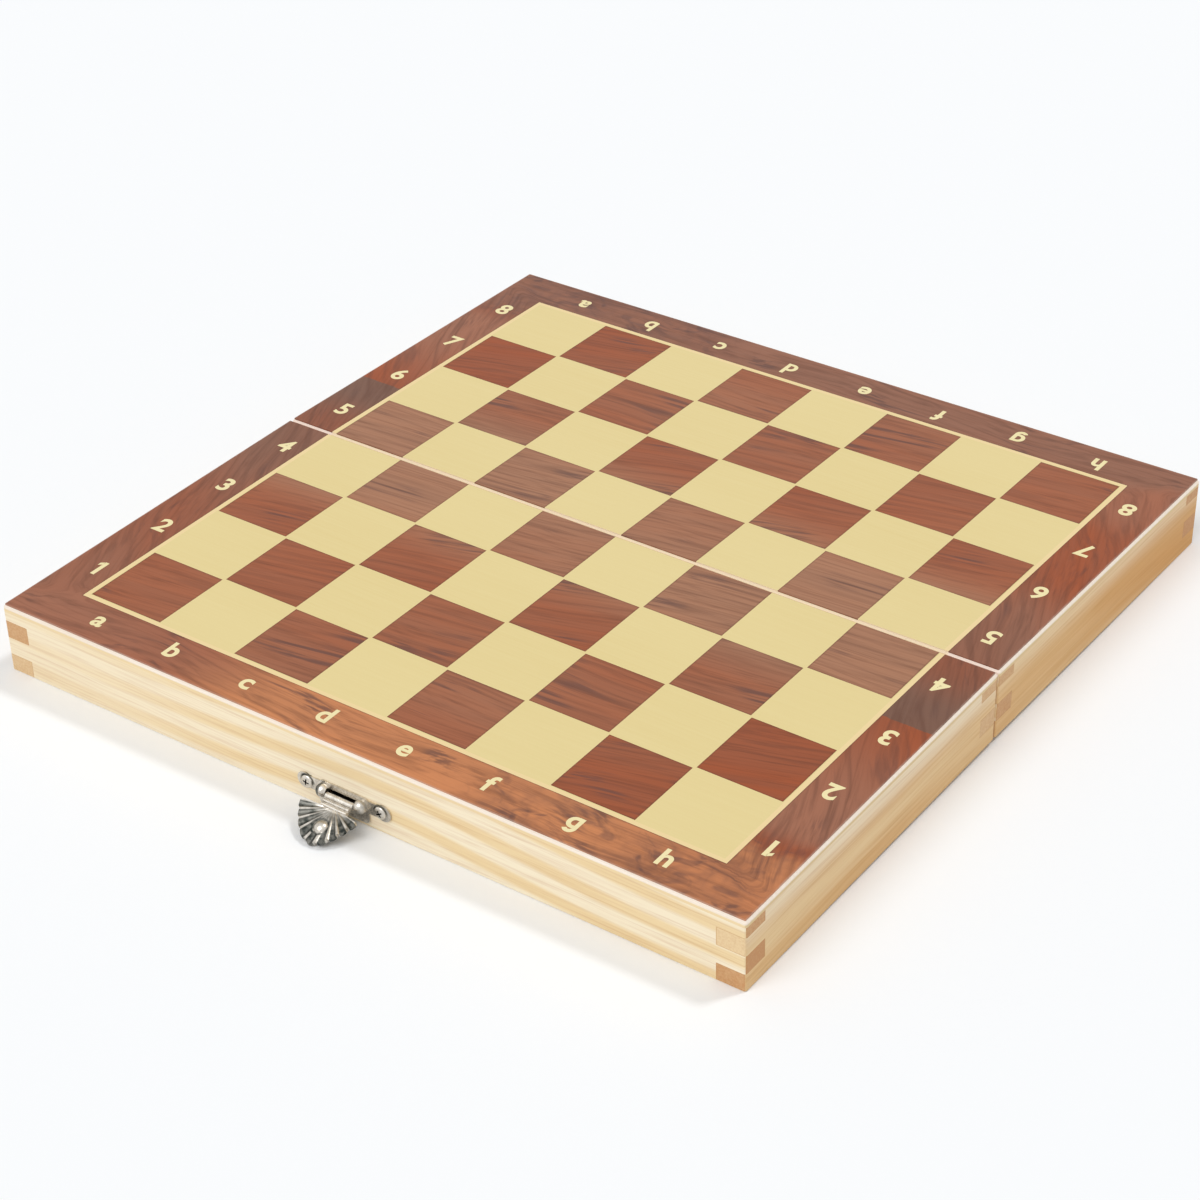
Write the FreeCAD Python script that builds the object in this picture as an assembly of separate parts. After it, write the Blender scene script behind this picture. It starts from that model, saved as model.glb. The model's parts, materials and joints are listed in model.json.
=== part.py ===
import FreeCAD, Part
import math
import os

from FreeCAD import Matrix, Vector

# A folding chess board: two equal box halves, hinged at the seam between the fourth and fifth ranks.
# Lengths are millimetres and angles are degrees.
# The origin is on the table, below the middle of the fold. +X runs from file a to file h,
# +Y from the first rank to the eighth, and +Z up.
# A half is drawn as the far one, lying level: x along the fold, y out from it, z up from its rims.
# The near half is the same half turned round. The hinge barrels stand below the rims, so both halves
# lean outwards a little, from the barrels down to the outer edges of their rims.

# Box halves
board_side = 290.0
seam_gap = 0.4
rail_height = 23.5
rail_thickness = 10.0
finger_height = 6.6
rim_ease = 0.4
rim_gap = 0.3
panel_thickness = 2.1
panel_ease = 0.6
overrun = 5.0

# Playing surface
files = 8
border_width = 18.6
field_margin = 1.6
dark_inset = 0.4
film_thickness = 0.4
film_corner = 0.3

# Butt hinges
hinge_spread = 170.0
leaf_length = 24.0
leaf_thickness = 0.8
leaf_setback = 2.0
leaf_corner = 1.5
leaf_screw_share = 0.32
barrel_radius = 1.35
barrel_clearance = 0.3
knuckles = 3
knuckle_gap = 0.2
hinge_pin_radius = 0.7
running_clearance = 0.05

# Screws
screw_radius = 1.0
screw_head_radius = 1.9
screw_clearance = 0.05
hinge_screw_length = 8.0
screw_cover = 2.5
round_head_radius = 2.2
round_head_height = 0.9
round_head_share = 0.6

# Clasp plate with its two ears and the pin through them
clasp_shift = -0.9
clasp_height = 7.4
plate_thickness = 0.6
plate_length = 37.0
plate_rise = 0.7
lobe_radius = 2.9
screw_spacing = 29.0
arm_height = 4.6
core_width = 20.0
core_above = 3.6
core_below = 5.8
core_corner = 2.0
window_above = 1.4
window_below = 1.6
window_depth = 3.0
ear_radius = 2.3
ear_width = 3.6
ear_rise = 0.7
ear_setback = 0.7
ear_gap = 0.3
clasp_pin_radius = 0.8
pin_hold = 2.3

# Fan-shaped flap of the clasp
flap_barrel_radius = 1.2
flap_barrel_length = 10.8
swing_clearance = 0.4
tip_clearance = 0.2
fan_thickness = 0.8
fan_length = 16.2
fan_width = 21.8
wing_reach = 5.2
wing_tilt = 8.5
flute_apex = 2.9
flutes = 9
flute_depth = 0.8
rib_share = 0.25
scallop_depth = 0.8
neck_width = 10.0
neck_reach = 4.0
ridges = 2
ridge_pitch = 1.4
ridge_radius = 0.6
dome_radius = 2.7
dome_height = 1.6
dome_wall = 0.6
hollow_share = 0.6

# Catch on the far half
catch_height = 2.8
catch_rim_margin = 0.4
catch_lobe_radius = 2.4
catch_spacing = 23.5
catch_core_width = 10.0
catch_core_corner = 1.5
stud_radius = 1.3
stud_neck_radius = 0.9
stud_height = 2.4
stud_head_share = 0.4
stud_rivet_radius = 0.8

# Sizes that follow from those above
seam_edge = seam_gap / 2
outer_edge = board_side / 2
half_width = board_side / 2
ranks = files // 2
square_pitch = (half_width - border_width - field_margin) / ranks
axis_drop = rim_gap / 2
corner_round = panel_ease + film_corner
rim_lean = math.degrees(math.atan2(barrel_radius + axis_drop, outer_edge))
leaf_reach = seam_edge + rail_thickness - leaf_setback
clasp_standoff = plate_thickness + flap_barrel_radius + swing_clearance
dome_reach = clasp_height + rim_gap + catch_height
fan_reach = fan_length + scallop_depth
flute_sweep = 2 * math.degrees(math.atan2(fan_width / 2, wing_reach - flute_apex))
side_screw_length = rail_thickness + plate_thickness - screw_cover

along_x = Vector(1, 0, 0)
along_y = Vector(0, 1, 0)
along_z = Vector(0, 0, 1)
nodes = {}


# Shared helpers
def block(x_span, y_span, z_span):
    low = Vector(x_span[0], y_span[0], z_span[0])
    return Part.makeBox(x_span[1] - x_span[0], y_span[1] - y_span[0], z_span[1] - z_span[0], low)


def rod(radius, x_span, y, z):
    return Part.makeCylinder(radius, x_span[1] - x_span[0], Vector(x_span[0], y, z), along_x)


def upright_edges(solid):
    return [edge for edge in solid.Edges if edge.BoundBox.ZLength > edge.BoundBox.DiagonalLength / 2]


def level_edges(solid, height):
    tolerance = overrun / 1000
    return [
        edge
        for edge in solid.Edges
        if abs(edge.BoundBox.ZMin - height) < tolerance and abs(edge.BoundBox.ZMax - height) < tolerance
    ]


def moved(shape, x, y, z):
    copy = shape.copy()
    copy.translate(Vector(x, y, z))
    return copy


def laid(shape, side):
    place = Matrix()
    if side == "front":
        place.rotateZ(math.pi)
    place.move(0, 0, axis_drop)
    place.rotateX(math.radians(rim_lean if side == "front" else -rim_lean))
    place.move(0, 0, barrel_radius)
    return shape.transformed(place, True)


def keep(name, shapes, side):
    solids = [laid(solid, side) for shape in shapes for solid in shape.Solids]
    nodes[name] = solids[0] if len(solids) == 1 else Part.makeCompound(solids)


# Box halves: a finger-jointed frame with a panel laid over it
def half_block(low, high):
    solid = block((-half_width, half_width), (seam_edge, outer_edge), (low, high))
    return solid.makeFillet(corner_round, upright_edges(solid))


def finger_spans():
    count = math.ceil(rail_height / finger_height)
    return [(level * finger_height, min((level + 1) * finger_height, rail_height)) for level in range(count)]


def corner_fingers(remainder):
    pieces = []
    for level, span in enumerate(finger_spans()):
        if level % 2 != remainder:
            continue
        for x in (-half_width, half_width - rail_thickness):
            for y in (seam_edge, outer_edge - rail_thickness):
                pieces.append(block((x, x + rail_thickness), (y, y + rail_thickness), span))
    return Part.makeCompound(pieces)


def frame_rails():
    outline = half_block(0, rail_height)
    outline = outline.makeChamfer(rim_ease, level_edges(outline, 0))
    whole = (0, rail_height)
    depth = (seam_edge, outer_edge)
    width = (-half_width, half_width)
    side_fingers = corner_fingers(0)
    end_fingers = corner_fingers(1)
    blanks = {
        "left_rail": (block((-half_width, rail_thickness - half_width), depth, whole), end_fingers),
        "right_rail": (block((half_width - rail_thickness, half_width), depth, whole), end_fingers),
        "hinge_rail": (block(width, (seam_edge, seam_edge + rail_thickness), whole), side_fingers),
        "end_rail": (block(width, (outer_edge - rail_thickness, outer_edge), whole), side_fingers),
    }
    return {name: blank.cut(gaps).common(outline) for name, (blank, gaps) in blanks.items()}


def top_panel():
    top = rail_height + panel_thickness
    panel = half_block(rail_height, top)
    return panel.makeChamfer(panel_ease, level_edges(panel, top))


# Playing surface: a thin film on the panel, let in square by square
def film_pieces(panel):
    top_face = max(panel.Faces, key=lambda face: face.CenterOfMass.z)
    film = top_face.extrude(along_z * film_thickness)
    heights = (top_face.CenterOfMass.z - overrun, top_face.CenterOfMass.z + overrun)
    reach = half_width - border_width
    field_block = block((-reach, reach), (0, reach), heights)
    squares = []
    for file in range(files):
        for rank in range(ranks):
            if (file + rank) % 2:
                continue
            left = (file - ranks) * square_pitch
            near = rank * square_pitch + (dark_inset if rank else 0)
            squares.append(
                block(
                    (left + dark_inset, left + square_pitch - dark_inset),
                    (near, (rank + 1) * square_pitch - dark_inset),
                    heights,
                )
            )
    field = film.common(field_block)
    darks = Part.makeCompound(squares)
    return {
        "border_film": film.cut(field_block),
        "light_film": field.cut(darks),
        "dark_squares": field.common(darks),
    }


# Screws, drawn with the shank along +z
def sunk_screw():
    head = Part.makeCone(screw_head_radius, screw_radius, leaf_thickness)
    return head.fuse(Part.makeCylinder(screw_radius, leaf_thickness + hinge_screw_length))


def round_screw():
    crown = round_head_radius * round_head_share
    head = Part.makeCone(crown, round_head_radius, round_head_height, Vector(0, 0, -round_head_height))
    return head.fuse(Part.makeCylinder(screw_radius, side_screw_length))


def screw_hole(length):
    depth = length + screw_clearance
    return Part.makeCylinder(screw_radius + screw_clearance, depth + overrun, Vector(0, 0, -overrun))


# Butt hinges, let into the rims beside the seam
def knuckle_spans():
    step = (leaf_length + knuckle_gap) / knuckles
    starts = [index * step - leaf_length / 2 for index in range(knuckles)]
    return [(start, start + step - knuckle_gap) for start in starts]


def leaf_screw_places():
    y = (barrel_radius + barrel_clearance + leaf_reach) / 2
    return [(sign * leaf_length * leaf_screw_share, y) for sign in (-1, 1)]


def hinge_leaf(remainder):
    leaf = block((-leaf_length / 2, leaf_length / 2), (0, leaf_reach), (0, leaf_thickness))
    far_edges = [edge for edge in upright_edges(leaf) if edge.BoundBox.YMin > leaf_reach / 2]
    leaf = leaf.makeFillet(leaf_corner, far_edges)
    for index, (start, end) in enumerate(knuckle_spans()):
        if index % 2 == remainder:
            leaf = leaf.fuse(rod(barrel_radius, (start, end), 0, -axis_drop))
        else:
            room = (start - knuckle_gap, end + knuckle_gap)
            leaf = leaf.cut(rod(barrel_radius + barrel_clearance, room, 0, -axis_drop))
    bore = rod(hinge_pin_radius + running_clearance, (-leaf_length, leaf_length), 0, -axis_drop)
    leaf = leaf.cut(bore)
    sink = Part.makeCone(screw_head_radius + screw_clearance, screw_radius + screw_clearance, leaf_thickness)
    for x, y in leaf_screw_places():
        leaf = leaf.cut(moved(sink, x, y, 0))
    return leaf.removeSplitter()


def hinge_seat():
    reach = leaf_length / 2 + screw_clearance
    pocket = block((-reach, reach), (-overrun, leaf_reach + screw_clearance), (-overrun, leaf_thickness))
    room = leaf_length / 2 + barrel_clearance
    groove = rod(barrel_radius + barrel_clearance, (-room, room), 0, -axis_drop)
    holes = [moved(screw_hole(hinge_screw_length), x, y, leaf_thickness) for x, y in leaf_screw_places()]
    return pocket.multiFuse([groove] + holes)


# Fittings on the outer rails, drawn about their middle: x along the rail, y out from it, z up
def rounded_plate(width, height, corner):
    plate = block((-width / 2, width / 2), (0, plate_thickness), (-height / 2, height / 2))
    corner = min(corner, width / 2, height / 2)
    edges = [edge for edge in plate.Edges if edge.BoundBox.YLength > plate_thickness / 2]
    return plate.makeFillet(corner, edges)


def plate_hole(radius, x):
    depth = plate_thickness + overrun
    return Part.makeCylinder(radius, depth, Vector(x, -overrun / 2, 0), along_y)


def lobed_plate(length, radius, arm, spacing, core):
    reach = length / 2 - radius
    plate = core.fuse(block((-reach, reach), (0, plate_thickness), (-arm / 2, arm / 2)))
    for sign in (-1, 1):
        lobe = Part.makeCylinder(radius, plate_thickness, Vector(sign * reach, 0, 0), along_y)
        plate = plate.fuse(lobe).cut(plate_hole(screw_radius + screw_clearance, sign * spacing / 2))
    return plate.removeSplitter()


def side_screws(spacing):
    turned = round_screw().rotated(Vector(), along_x, 90)
    return [moved(turned, sign * spacing / 2, plate_thickness, 0) for sign in (-1, 1)]


def side_screw_holes(spacing):
    turned = screw_hole(side_screw_length).rotated(Vector(), along_x, 90)
    return [moved(turned, sign * spacing / 2, plate_thickness, 0) for sign in (-1, 1)]


def window(depth):
    reach = flap_barrel_length / 2 + ear_gap
    return block((-reach, reach), (-depth, overrun), (-window_below, window_above))


def clasp_plate():
    core = rounded_plate(core_width, core_above + core_below, core_corner)
    core = moved(core, 0, 0, (core_above - core_below) / 2 - plate_rise)
    plate = lobed_plate(plate_length, lobe_radius, arm_height, screw_spacing, core)
    plate = moved(plate, 0, 0, plate_rise).cut(window(overrun))
    inner = flap_barrel_length / 2 + ear_gap
    out = clasp_standoff - ear_setback
    for sign in (-1, 1):
        span = sorted((sign * inner, sign * (inner + ear_width)))
        ball = Part.makeSphere(ear_radius, Vector(sum(span) / 2, out, ear_rise))
        room = block(sorted((sign * inner, sign * core_width)), (0, out + overrun), (-overrun, overrun))
        foot = block(span, (0, out), (ear_rise - ear_radius / 2, ear_rise + ear_radius / 2))
        plate = plate.fuse(foot).fuse(ball.common(room))
    return plate.cut(pin_rod(running_clearance)).removeSplitter()


def pin_rod(clearance):
    reach = flap_barrel_length / 2 + ear_gap + pin_hold + clearance
    return rod(clasp_pin_radius + clearance, (-reach, reach), clasp_standoff, 0)


# Fan flap, drawn about its pin: x along the pin, y out along the fan, z up through its fluted face.
# The flutes spread from an apex near the pin to a rim that is a parabola through the two wing tips.
def rim_point(angle, proud):
    turn = math.radians(angle)
    length = fan_length - flute_apex
    bend = (fan_length - wing_reach) / (fan_width / 2) ** 2
    root = math.sqrt(math.cos(turn) ** 2 + 4 * bend * length * math.sin(turn) ** 2)
    reach = 2 * length / (math.cos(turn) + root) + proud
    return Vector(reach * math.sin(turn), flute_apex + reach * math.cos(turn), 0)


def fan_outline(low, high):
    step = flute_sweep / flutes
    edges = []
    for flute in range(flutes):
        start = flute * step - flute_sweep / 2
        crown = rim_point(start + step / 2, scallop_depth)
        edges.append(Part.Arc(rim_point(start, 0), crown, rim_point(start + step, 0)).toShape())
    neck = Vector(neck_width / 2, neck_reach, 0)
    tips = [rim_point(sign * flute_sweep / 2, 0) for sign in (1, -1)]
    corners = [tips[0], neck, Vector(-neck.x, neck.y, 0), tips[1]]
    edges += [Part.makeLine(corners[index], corners[index + 1]) for index in range(len(corners) - 1)]
    face = Part.Face(Part.Wire(Part.sortEdges(edges)[0]))
    return moved(face.extrude(along_z * (high - low)), 0, 0, low)


# Round-bottomed flutes, cut between thin ribs that rise from the apex to the rim
def fan_flutes():
    length = fan_reach - flute_apex + overrun
    rise = math.atan2(flute_depth, fan_reach - flute_apex)
    step = flute_sweep / flutes
    spread = math.radians(step / 2) * (1 - rib_share)
    tilt = math.atan2(1 - math.cos(spread) * math.cos(rise), math.sin(rise))
    direction = Vector(0, math.cos(tilt), math.sin(tilt))
    apex = Vector(0, 0, fan_thickness / 2)
    flute = Part.makeCone(0, length * math.tan(tilt), length, apex, direction)
    dish = Part.makeCone(0, length, length * math.tan(rise), apex)
    turns = [flute_sweep / 2 - (index + 1 / 2) * step for index in range(flutes)]
    cuts = [dish] + [flute.rotated(Vector(), along_z, turn) for turn in turns]
    return [moved(cut, 0, flute_apex, 0) for cut in cuts]


def dome(radius, base, height):
    ball = (radius**2 + height**2) / (2 * height)
    sphere = Part.makeSphere(ball, Vector(0, dome_reach, base + height - ball))
    return sphere.common(Part.makeCylinder(radius, height, Vector(0, dome_reach, base)))


def neck_ridges():
    span = (-neck_width / 2, neck_width / 2)
    places = [flap_barrel_radius + (index + 1 / 2) * ridge_pitch for index in range(ridges)]
    return [rod(ridge_radius, span, y, fan_thickness / 2) for y in places]


# The two wings of the fan are bent up a little along its middle line
def fan_wings():
    half = fan_thickness / 2
    blade = fan_outline(-half, half + flute_depth).cut(fan_flutes())
    wings = []
    for sign in (-1, 1):
        side = block(sorted((0, sign * fan_width)), (0, fan_reach + overrun), (-overrun, overrun))
        wings.append(blade.common(side).rotated(Vector(0, 0, -half), along_y, -sign * wing_tilt))
    return wings


def clasp_fan():
    half = fan_thickness / 2
    neck = block((-neck_width / 2, neck_width / 2), (0, neck_reach + half), (-half, half))
    barrel = rod(flap_barrel_radius, (-flap_barrel_length / 2, flap_barrel_length / 2), 0, 0)
    fan = barrel.multiFuse(fan_wings() + [neck, dome(dome_radius, half, dome_height)] + neck_ridges())
    mouth = dome_radius - dome_wall
    depth = dome_height + fan_thickness - dome_wall
    hollow = Part.makeCone(mouth, mouth * hollow_share, depth, Vector(0, dome_reach, -half))
    bore = rod(clasp_pin_radius + running_clearance, (-core_width, core_width), 0, 0)
    return fan.cut(hollow).cut(bore).removeSplitter()


def fan_droop():
    lean = math.radians(rim_lean)
    pin_out = outer_edge + clasp_standoff
    pin_height = barrel_radius + (clasp_height + axis_drop) * math.cos(lean) - pin_out * math.sin(lean)
    back = fan_thickness / 2
    drop = (pin_height - tip_clearance) / math.hypot(fan_reach, back)
    return math.degrees(math.asin(drop) - math.atan2(back, fan_reach)) - rim_lean


# Catch: a lobed plate with a riveted stud that the fan's dome closes over
def catch_plate():
    core_size = 2 * (catch_height - catch_rim_margin)
    core = rounded_plate(catch_core_width, core_size, catch_core_corner)
    length = catch_spacing + 2 * catch_lobe_radius
    plate = lobed_plate(length, catch_lobe_radius, core_size / 2, catch_spacing, core)
    return plate.cut(plate_hole(stud_rivet_radius + screw_clearance, 0))


def catch_stud():
    head = plate_thickness + stud_height * (1 - stud_head_share)
    top = plate_thickness + stud_height
    corners = [
        Vector(0, 0, 0),
        Vector(stud_rivet_radius, 0, 0),
        Vector(stud_rivet_radius, plate_thickness, 0),
        Vector(stud_radius, plate_thickness, 0),
        Vector(stud_neck_radius, head, 0),
        Vector(stud_radius, head, 0),
        Vector(stud_neck_radius, top, 0),
        Vector(0, top, 0),
    ]
    face = Part.Face(Part.makePolygon(corners + corners[:1]))
    return face.revolve(Vector(), along_y, 360)


# Assembly of one half from the shared pieces
def build_half(side, rails, panel, films):
    hinge_x = [-hinge_spread / 2, hinge_spread / 2]
    seats = [moved(hinge_seat(), x, 0, 0) for x in hinge_x]
    end_name = "clasp" if side == "front" else "catch"
    spacing = screw_spacing if side == "front" else catch_spacing
    x = -clasp_shift if side == "front" else clasp_shift
    z = clasp_height + plate_rise if side == "front" else catch_height
    holes = [moved(hole, x, outer_edge, z) for hole in side_screw_holes(spacing)]
    if side == "front":
        holes.append(moved(window(window_depth), x, outer_edge, clasp_height))
    left, right = ("right", "left") if side == "front" else ("left", "right")
    keep(f"{side}_{left}_rail", [rails["left_rail"]], side)
    keep(f"{side}_{right}_rail", [rails["right_rail"]], side)
    keep(f"{side}_hinge_rail", [rails["hinge_rail"].cut(Part.makeCompound(seats))], side)
    keep(f"{end_name}_rail", [rails["end_rail"].cut(Part.makeCompound(holes))], side)
    keep(f"{side}_panel", [panel], side)
    for name, film in films.items():
        keep(f"{side}_{name}", [film], side)
    places = [(hinge + screw_x, y) for hinge in hinge_x for screw_x, y in leaf_screw_places()]
    keep(f"{side}_hinge_screws", [moved(sunk_screw(), screw_x, y, 0) for screw_x, y in places], side)
    keep(f"{end_name}_screws", [moved(screw, x, outer_edge, z) for screw in side_screws(spacing)], side)


def build_hinges():
    pin = rod(hinge_pin_radius, (-leaf_length / 2, leaf_length / 2), 0, -axis_drop)
    for name, x in (("left", -hinge_spread / 2), ("right", hinge_spread / 2)):
        keep(f"{name}_hinge_front_leaf", [moved(hinge_leaf(0), -x, 0, 0)], "front")
        keep(f"{name}_hinge_rear_leaf", [moved(hinge_leaf(1), x, 0, 0)], "rear")
        keep(f"{name}_hinge_pin", [moved(pin, -x, 0, 0)], "front")


def build_clasp():
    front = (-clasp_shift, outer_edge, clasp_height)
    keep("clasp_plate", [moved(clasp_plate(), *front)], "front")
    keep("clasp_pin", [moved(pin_rod(0), *front)], "front")
    fan = clasp_fan().rotated(Vector(), along_x, -fan_droop())
    keep("clasp_fan", [moved(fan, -clasp_shift, outer_edge + clasp_standoff, clasp_height)], "front")
    keep("catch_plate", [moved(catch_plate(), clasp_shift, outer_edge, catch_height)], "rear")
    keep("catch_stud", [moved(catch_stud(), clasp_shift, outer_edge, catch_height)], "rear")


rails = frame_rails()
panel = top_panel()
films = film_pieces(panel)
for side in ("front", "rear"):
    build_half(side, rails, panel, films)
build_hinges()
build_clasp()

os.makedirs("parts", exist_ok=True)
for name, shape in nodes.items():
    shape.exportStep(f"parts/{name}.step")
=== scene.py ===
import json
import math

import bmesh
import bpy
from mathutils import Matrix, Vector


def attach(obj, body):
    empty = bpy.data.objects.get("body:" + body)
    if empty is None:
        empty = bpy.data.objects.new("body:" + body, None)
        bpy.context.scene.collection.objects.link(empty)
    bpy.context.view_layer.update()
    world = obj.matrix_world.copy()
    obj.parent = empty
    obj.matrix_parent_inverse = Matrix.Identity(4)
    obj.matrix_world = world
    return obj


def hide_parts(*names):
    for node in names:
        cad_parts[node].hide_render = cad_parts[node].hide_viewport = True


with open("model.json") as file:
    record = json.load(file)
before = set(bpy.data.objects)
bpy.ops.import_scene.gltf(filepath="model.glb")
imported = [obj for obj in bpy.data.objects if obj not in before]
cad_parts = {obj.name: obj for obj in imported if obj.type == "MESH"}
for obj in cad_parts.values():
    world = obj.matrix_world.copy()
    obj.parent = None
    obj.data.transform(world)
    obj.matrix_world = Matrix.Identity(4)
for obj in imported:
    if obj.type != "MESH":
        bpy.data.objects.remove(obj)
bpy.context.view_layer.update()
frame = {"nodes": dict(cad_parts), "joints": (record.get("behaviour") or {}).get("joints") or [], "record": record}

scene = bpy.context.scene
scene.view_settings.view_transform = "Standard"
joints = {joint["name"]: joint for joint in frame["joints"]}

# The two halves lean on the hinge barrels, so each has a level frame of its own:
# x along the fold, y out from it, z up from the rims. The front half is the rear one turned round.
board = {
    "side": 0.290,
    "boxHeight": 0.026,
    "pitch": 0.0312,
    "borderWidth": 0.0186,
    "axisHeight": joints["board_fold"]["pos_m"][2],
    "axisDrop": 0.00015,
}
board["half"] = board["side"] / 2
board["lean"] = math.atan2(board["axisHeight"] + board["axisDrop"], board["half"])
halfTurns = {"front": (-board["lean"], math.pi), "rear": (board["lean"], 0.0)}


def levelToFrame(side):
    tilt, turn = halfTurns[side]
    lift = Matrix.Translation((0, 0, board["axisDrop"]))
    raised = Matrix.Translation((0, 0, board["axisHeight"]))
    return raised @ Matrix.Rotation(-tilt, 4, "X") @ lift @ Matrix.Rotation(turn, 4, "Z")


# Short ways to write node trees
drawing = {}  # holds the tree that they write into


def openTree(tree):
    tree.nodes.clear()
    drawing["tree"] = tree


def link(source, target):
    drawing["tree"].links.new(source, target)


def put(kind, inputs=None, **settings):
    node = drawing["tree"].nodes.new("ShaderNode" + kind)
    for name, value in settings.items():
        setattr(node, name, value)
    for name, value in (inputs or {}).items():
        if isinstance(value, bpy.types.NodeSocket):
            link(value, node.inputs[name])
        else:
            node.inputs[name].default_value = value
    return node


def calc(operation, a, b=0.0, c=0.0, clamp=False):
    return put("Math", {0: a, 1: b, 2: c}, operation=operation, use_clamp=clamp).outputs[0]


def minus(a, b, clamp=False):
    return calc("SUBTRACT", a, b, clamp=clamp)


def times(a, b):
    return calc("MULTIPLY", a, b)


def timesPlus(a, b, c, clamp=False):
    return calc("MULTIPLY_ADD", a, b, c, clamp)


def above(a, b):
    return calc("GREATER_THAN", a, b)


def below(a, b):
    return calc("LESS_THAN", a, b)


def larger(a, b):
    return calc("MAXIMUM", a, b)


def unsigned(a):
    return calc("ABSOLUTE", a)


def apart(a, b):
    return unsigned(minus(a, b))


def vectorCalc(operation, a, b=(0, 0, 0)):
    return put("VectorMath", {0: a, 1: b}, operation=operation).outputs[0]


def scaled(vector, amount):
    return put("VectorMath", {0: vector, "Scale": amount}, operation="SCALE").outputs[0]


def spread(value, low, high, toLow=0.0, toHigh=1.0):
    ends = {"Value": value, "From Min": low, "From Max": high, "To Min": toLow, "To Max": toHigh}
    return put("MapRange", ends, interpolation_type="SMOOTHSTEP").outputs[0]


def blend(factor, a, b):
    return put("Mix", {0: factor, 6: a, 7: b}, data_type="RGBA").outputs[2]


def blendValues(factor, a, b):
    return put("Mix", {0: factor, 2: a, 3: b}, data_type="FLOAT").outputs[0]


def noise(vector, scale=1.0, detail=2.0, roughness=0.5, distortion=0.0):
    inputs = {"Vector": vector, "Scale": scale, "Detail": detail, "Roughness": roughness}
    return put("TexNoise", {**inputs, "Distortion": distortion}).outputs


def stretched(vector, scale, location=(0, 0, 0), rotation=(0, 0, 0)):
    inputs = {"Vector": vector, "Scale": scale, "Location": location, "Rotation": rotation}
    return put("Mapping", inputs).outputs[0]


def split(vector):
    return put("SeparateXYZ", {0: vector}).outputs


def lengthwise(along, across):  # sizes of a pattern that is alike in y and z
    return put("CombineXYZ", {0: along, 1: across, 2: across}).outputs[0]


def drifted(vector, drift, amount):  # a place moved by the colour of a noise
    centred = vectorCalc("SUBTRACT", drift, (0.5, 0.5, 0.5))
    return vectorCalc("ADD", vector, scaled(centred, amount))


def paint(*shades):  # a colour as it looks on screen, made linear for the nodes
    linear = [((c / 255 + 0.055) / 1.055) ** 2.4 if c > 10 else c / 255 / 12.92 for c in shades]
    return (*linear, 1.0)


def newGroup(name, values, outputs):  # takes a vector and values, gives values
    group = bpy.data.node_groups.new(name, "ShaderNodeTree")
    openTree(group)
    addSocket = group.interface.new_socket
    addSocket("Vector", in_out="INPUT", socket_type="NodeSocketVector")
    for label, value in values.items():
        socket = addSocket(label, in_out="INPUT", socket_type="NodeSocketFloat")
        socket.default_value = value
    for label in outputs:
        addSocket(label, in_out="OUTPUT", socket_type="NodeSocketFloat")
    entry = group.nodes.new("NodeGroupInput")
    leave = group.nodes.new("NodeGroupOutput")
    return group, entry.outputs, leave.inputs


def useGroup(group, vector, inputs=None):
    return put("Group", {"Vector": vector, **(inputs or {})}, node_tree=group).outputs


def newMaterial(name, specular=0.5):
    material = bpy.data.materials.new(name)
    material.use_nodes = True
    openTree(material.node_tree)
    shader = put("BsdfPrincipled")
    shader.inputs["Specular IOR Level"].default_value = specular
    link(shader.outputs[0], put("OutputMaterial").inputs[0])
    return material, shader


def finishSurface(shader, colour, roughness, height, depth):
    link(colour, shader.inputs["Base Color"])
    link(roughness, shader.inputs["Roughness"])
    bump = put("Bump", {"Height": height, "Distance": depth})
    link(bump.outputs[0], shader.inputs["Normal"])


def objectCoords():
    return put("TexCoord").outputs["Object"]


def coordsIn(place):
    back = place.inverted()
    return stretched(objectCoords(), (1, 1, 1), back.to_translation(), back.to_euler())


def levelCoords(side):
    return coordsIn(levelToFrame(side))


def facing():
    return split(put("TexCoord").outputs["Normal"])


def fromMiddle(place):  # how far out a spot of the playing surface lies
    return larger(unsigned(place["X"]), place["Y"])


# In the looks below, a span is the part of a pattern over which an effect sets in.
# Where it has four numbers, the last two are the effect at its two ends.

# Grain of any wood: x runs along it. Bands are growth rings cut lengthwise, fibres the fine hairs.
grainShape = {
    "slow": (6, 18, 18),
    "bandsAlong": 2.5,
    "bandSpan": (0.3, 0.7),
    "fibresAlong": 24.0,
    "fibreSpan": (0.2, 0.8),
}


def makeGrainGroup():
    group, given, made = newGroup(
        "lengthwiseGrain",
        {"Seed": 0.0, "Band Scale": 110.0, "Fibre Scale": 900.0, "Wander": 0.004},
        ["Bands", "Fibres", "Blush"],
    )
    seed = lengthwise(given["Seed"], given["Seed"])
    shifted = vectorCalc("ADD", given["Vector"], seed)
    slow = noise(stretched(shifted, grainShape["slow"]))
    bent = drifted(shifted, slow["Color"], given["Wander"])
    bandSizes = lengthwise(grainShape["bandsAlong"], given["Band Scale"])
    fibreSizes = lengthwise(grainShape["fibresAlong"], given["Fibre Scale"])
    inBands = vectorCalc("MULTIPLY", bent, bandSizes)
    inFibres = vectorCalc("MULTIPLY", bent, fibreSizes)
    bands = noise(inBands, detail=3.0, roughness=0.45)[0]
    fibres = noise(inFibres, detail=4.0, roughness=0.6)[0]
    link(spread(bands, *grainShape["bandSpan"]), made["Bands"])
    link(fibres, made["Fibres"])
    link(slow[0], made["Blush"])
    return group


# Dark streaks along x that bend a little: faint all over, strong where they crowd
streakShape = {
    "bends": (14, 30, 30),
    "along": 12.0,
    "crowds": (30, 75, 75),
    "crowdStart": (3, 1, 2),
    "crowdSpan": (0.53, 0.67),
    "faintSpan": (0.42, 0.72),
    "strongSpan": (0.46, 0.6),
}


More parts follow.
